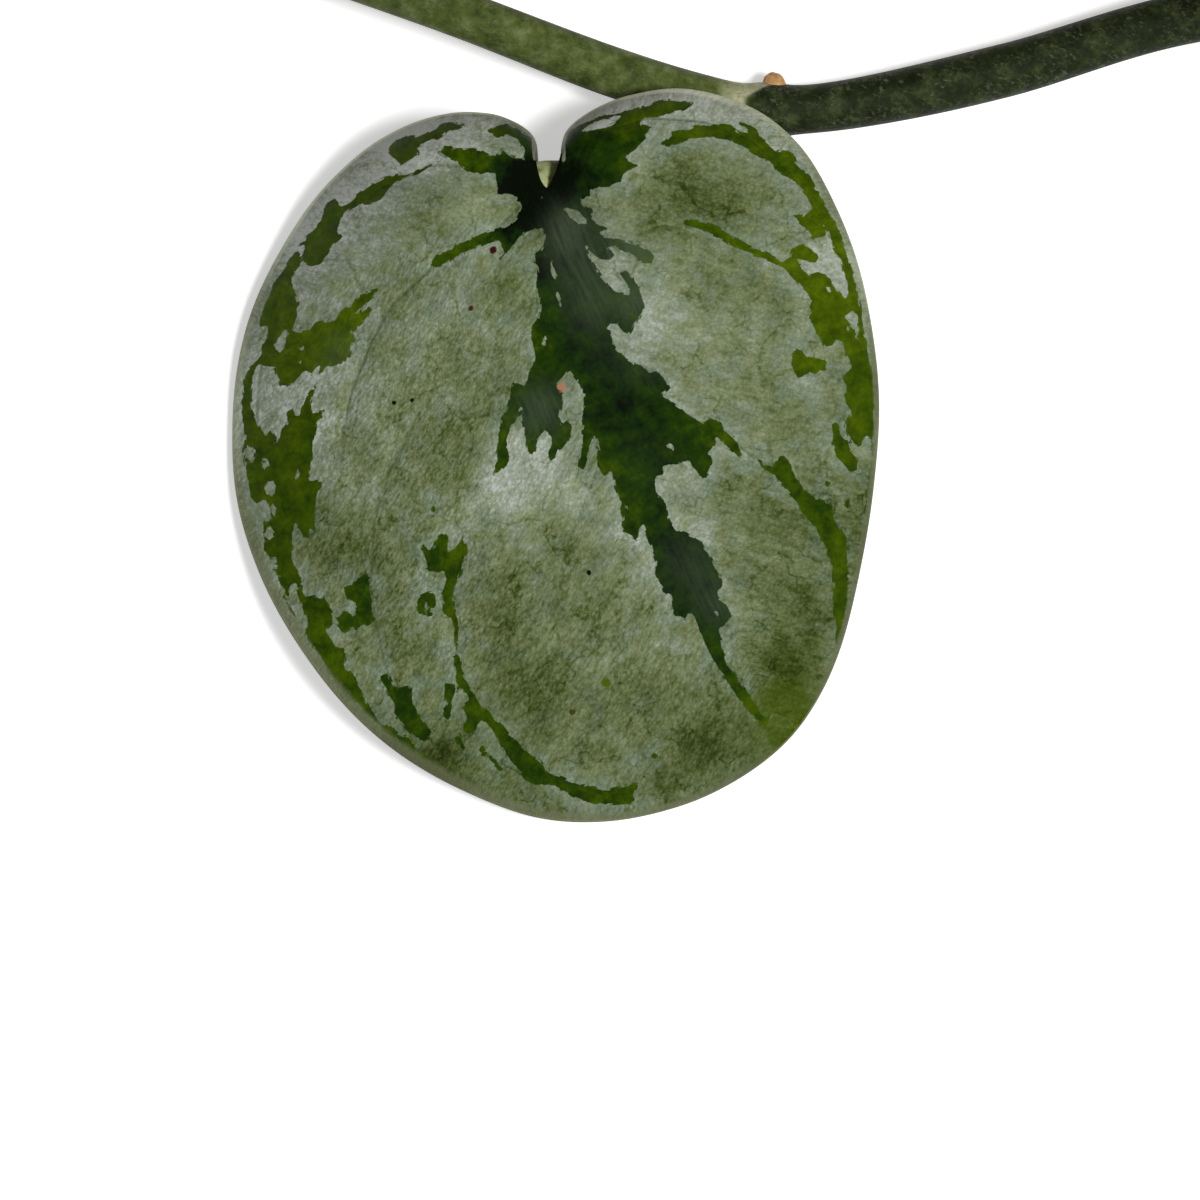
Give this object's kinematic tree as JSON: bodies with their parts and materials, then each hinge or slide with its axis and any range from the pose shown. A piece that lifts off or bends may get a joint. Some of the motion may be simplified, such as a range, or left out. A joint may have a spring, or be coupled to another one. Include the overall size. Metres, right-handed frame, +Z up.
{
  "type": "potted scindapsus",
  "caption": "Potted trailing scindapsus: silver-splashed heart-shaped leaves on vines that arch over and trail from a plain round nursery pot of soil.",
  "frame": {"origin": "middle of the pot's flat underside, on the surface that the pot stands on", "axes": "+Z up through the pot, -Y towards the longest vine, which trails out in front along the surface, +X to the right seen from that side"},
  "size_m": [0.2658, 0.2855, 0.1794],
  "materials": {
    "leaf_blade": "satin",
    "vine_stem": "satin",
    "potting_soil": "matt",
    "pot_plastic": "matt"
  },
  "bodies": {
    "root": {"pot": "pot_plastic", "soil": "potting_soil", "vine_front": "vine_stem", "vine_right": "vine_stem", "vine_back_right": "vine_stem", "vine_back_left": "vine_stem", "vine_left": "vine_stem", "vine_left_front": "vine_stem", "vine_middle": "vine_stem", "leaf_01": "leaf_blade", "leaf_02": "leaf_blade", "leaf_03": "leaf_blade", "leaf_04": "leaf_blade", "leaf_05": "leaf_blade", "leaf_06": "leaf_blade", "leaf_07": "leaf_blade", "leaf_08": "leaf_blade", "leaf_09": "leaf_blade", "leaf_10": "leaf_blade", "leaf_11": "leaf_blade", "leaf_12": "leaf_blade", "leaf_13": "leaf_blade", "leaf_14": "leaf_blade", "leaf_15": "leaf_blade", "leaf_16": "leaf_blade", "leaf_17": "leaf_blade", "leaf_18": "leaf_blade", "leaf_19": "leaf_blade", "leaf_20": "leaf_blade", "leaf_21": "leaf_blade", "leaf_22": "leaf_blade", "leaf_23": "leaf_blade", "leaf_24": "leaf_blade", "leaf_25": "leaf_blade", "leaf_26": "leaf_blade", "leaf_27": "leaf_blade", "leaf_28": "leaf_blade", "leaf_29": "leaf_blade", "leaf_30": "leaf_blade", "leaf_31": "leaf_blade", "leaf_32": "leaf_blade", "leaf_33": "leaf_blade", "leaf_34": "leaf_blade", "leaf_35": "leaf_blade", "leaf_36": "leaf_blade", "leaf_37": "leaf_blade"}
  },
  "joints": []
}
